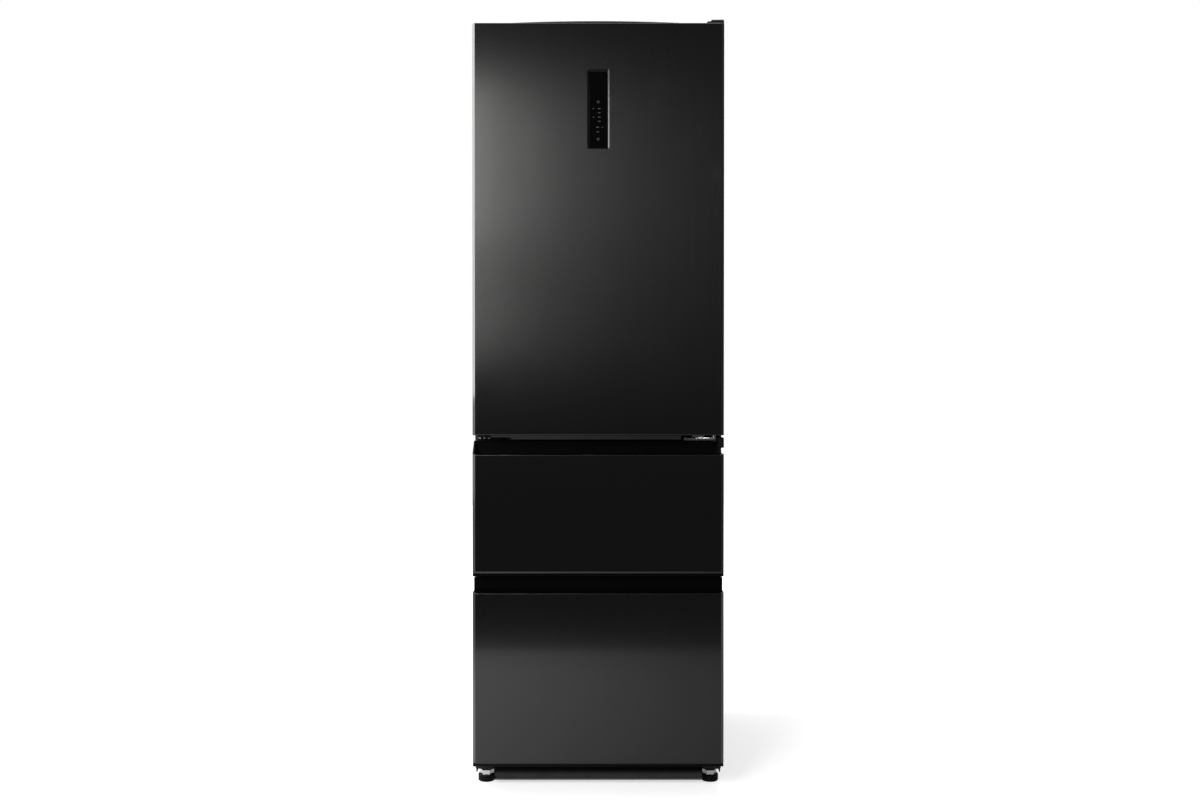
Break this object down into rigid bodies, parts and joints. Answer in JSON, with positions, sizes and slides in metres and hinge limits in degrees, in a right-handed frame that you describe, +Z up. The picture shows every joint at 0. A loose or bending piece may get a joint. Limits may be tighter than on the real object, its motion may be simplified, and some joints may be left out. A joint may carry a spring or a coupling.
{
  "type": "refrigerator",
  "caption": "Tall freestanding refrigerator with a hinged upper door, pull-out drawers with recessed grips, glass shelves, door bins, a crisper and levelling feet.",
  "frame": {"origin": "centre of the footprint at floor level", "axes": "+Z up, the door and drawers face -Y, +X to the viewer's right, the hinge side"},
  "size_m": [0.6, 0.65, 1.85],
  "materials": {
    "black_steel": "satin, fine brushed, dark tinted",
    "case_paint": "satin paint",
    "zinc_steel": "galvanised",
    "plated_steel": "bright plated",
    "rail_steel": "zinc plated",
    "black_plastic": "fine textured",
    "gloss_black": "high gloss",
    "display_glass": "polished",
    "foam": "rigid insulation foam",
    "white_liner": "semi gloss",
    "clear_plastic": "clear, glossy",
    "frosted_plastic": "frosted",
    "shelf_glass": "clear, polished",
    "seal_rubber": "matt, soft",
    "fin_aluminium": "mill",
    "motor_black": "gloss black paint",
    "screw_steel": "zinc plated"
  },
  "bodies": {
    "cabinet": {"outer_case": "case_paint", "back_panel": "zinc_steel", "base_pan": "case_paint", "front_rails": "case_paint", "cabinet_foam": "foam", "fridge_liner": "white_liner", "drawer_liners": "white_liner", "kickplate": "black_plastic", "fixed_rails": "rail_steel", "top_hinge": "plated_steel", "top_hinge_cover": "black_plastic", "middle_hinge": "plated_steel", "crossbar_caps": "black_plastic", "screws": "screw_steel", "glass_shelves": "shelf_glass", "shelf_trims": "frosted_plastic", "air_ducts": "white_liner", "light_lens": "frosted_plastic", "evaporator": "fin_aluminium", "fan_motors": "motor_black", "compressor": "motor_black", "condenser": "fin_aluminium", "drip_tray": "black_plastic", "rear_cover": "zinc_steel", "cord_grommet": "seal_rubber", "floor_brackets": "case_paint"},
    "fridge_door": {"door_skin": "black_steel", "door_top_cap": "black_plastic", "door_bottom_cap": "black_plastic", "hinge_bushes": "black_plastic", "door_foam": "foam", "display_bezel": "gloss_black", "display_lens": "display_glass", "door_liner": "white_liner", "door_bins": "clear_plastic", "door_gasket": "seal_rubber"},
    "upper_drawer": {"upper_drawer_skin": "black_steel", "upper_drawer_caps": "black_plastic", "upper_drawer_foam": "foam", "upper_drawer_panel": "white_liner", "upper_drawer_gasket": "seal_rubber", "upper_drawer_bin": "clear_plastic", "upper_drawer_rails": "rail_steel"},
    "upper_slide_members": {"upper_slides": "rail_steel"},
    "lower_drawer": {"lower_drawer_skin": "black_steel", "lower_drawer_caps": "black_plastic", "lower_drawer_foam": "foam", "lower_drawer_panel": "white_liner", "lower_drawer_gasket": "seal_rubber", "lower_drawer_bin": "clear_plastic", "lower_drawer_rails": "rail_steel"},
    "lower_slide_members": {"lower_slides": "rail_steel"},
    "crisper_drawer": {"crisper": "clear_plastic"},
    "left_levelling_foot": {"left_foot": "black_plastic", "left_foot_stud": "plated_steel"},
    "right_levelling_foot": {"right_foot": "black_plastic", "right_foot_stud": "plated_steel"},
    "rear_roller_pair": {"rear_rollers": "black_plastic"},
    "condenser_fan_wheel": {"condenser_fan": "black_plastic"},
    "evaporator_fan_wheel": {"evaporator_fan": "black_plastic"}
  },
  "joints": [
    {"name": "door_hinge", "type": "hinge", "parent": "cabinet", "child": "fridge_door", "pos_m": [0.278, -0.292, 1.345], "axis": [0, 0, 1], "range_deg": [0, 120]},
    {"name": "upper_drawer_slide", "type": "slide", "parent": "cabinet", "child": "upper_drawer", "axis": [0, -1, 0], "range_m": [0, 0.36]},
    {"name": "upper_slide_travel", "type": "slide", "parent": "cabinet", "child": "upper_slide_members", "axis": [0, -1, 0], "range_m": [0, 0.18]},
    {"name": "lower_drawer_slide", "type": "slide", "parent": "cabinet", "child": "lower_drawer", "axis": [0, -1, 0], "range_m": [0, 0.36]},
    {"name": "lower_slide_travel", "type": "slide", "parent": "cabinet", "child": "lower_slide_members", "axis": [0, -1, 0], "range_m": [0, 0.18]},
    {"name": "crisper_slide", "type": "slide", "parent": "cabinet", "child": "crisper_drawer", "axis": [0, -1, 0], "range_m": [0, 0.06]},
    {"name": "left_foot_screw", "type": "hinge", "parent": "cabinet", "child": "left_levelling_foot", "pos_m": [-0.276, -0.221, 0.03], "axis": [0, 0, 1], "range_deg": [-1080, 1080]},
    {"name": "right_foot_screw", "type": "hinge", "parent": "cabinet", "child": "right_levelling_foot", "pos_m": [0.276, -0.221, 0.03], "axis": [0, 0, 1], "range_deg": [-1080, 1080]},
    {"name": "roller_spin", "type": "hinge", "parent": "cabinet", "child": "rear_roller_pair", "pos_m": [0, 0.282, 0.018], "axis": [1, 0, 0], "continuous": true},
    {"name": "condenser_fan_spin", "type": "hinge", "parent": "cabinet", "child": "condenser_fan_wheel", "pos_m": [0.1116, 0.219, 0.0952], "axis": [1, 0, 0], "continuous": true},
    {"name": "evaporator_fan_spin", "type": "hinge", "parent": "cabinet", "child": "evaporator_fan_wheel", "pos_m": [0, 0.202, 0.748], "axis": [0, 1, 0], "continuous": true}
  ],
  "couplings": [
    {"joint": "upper_slide_travel", "follows": "upper_drawer_slide", "ratio": 0.5},
    {"joint": "lower_slide_travel", "follows": "lower_drawer_slide", "ratio": 0.5}
  ]
}
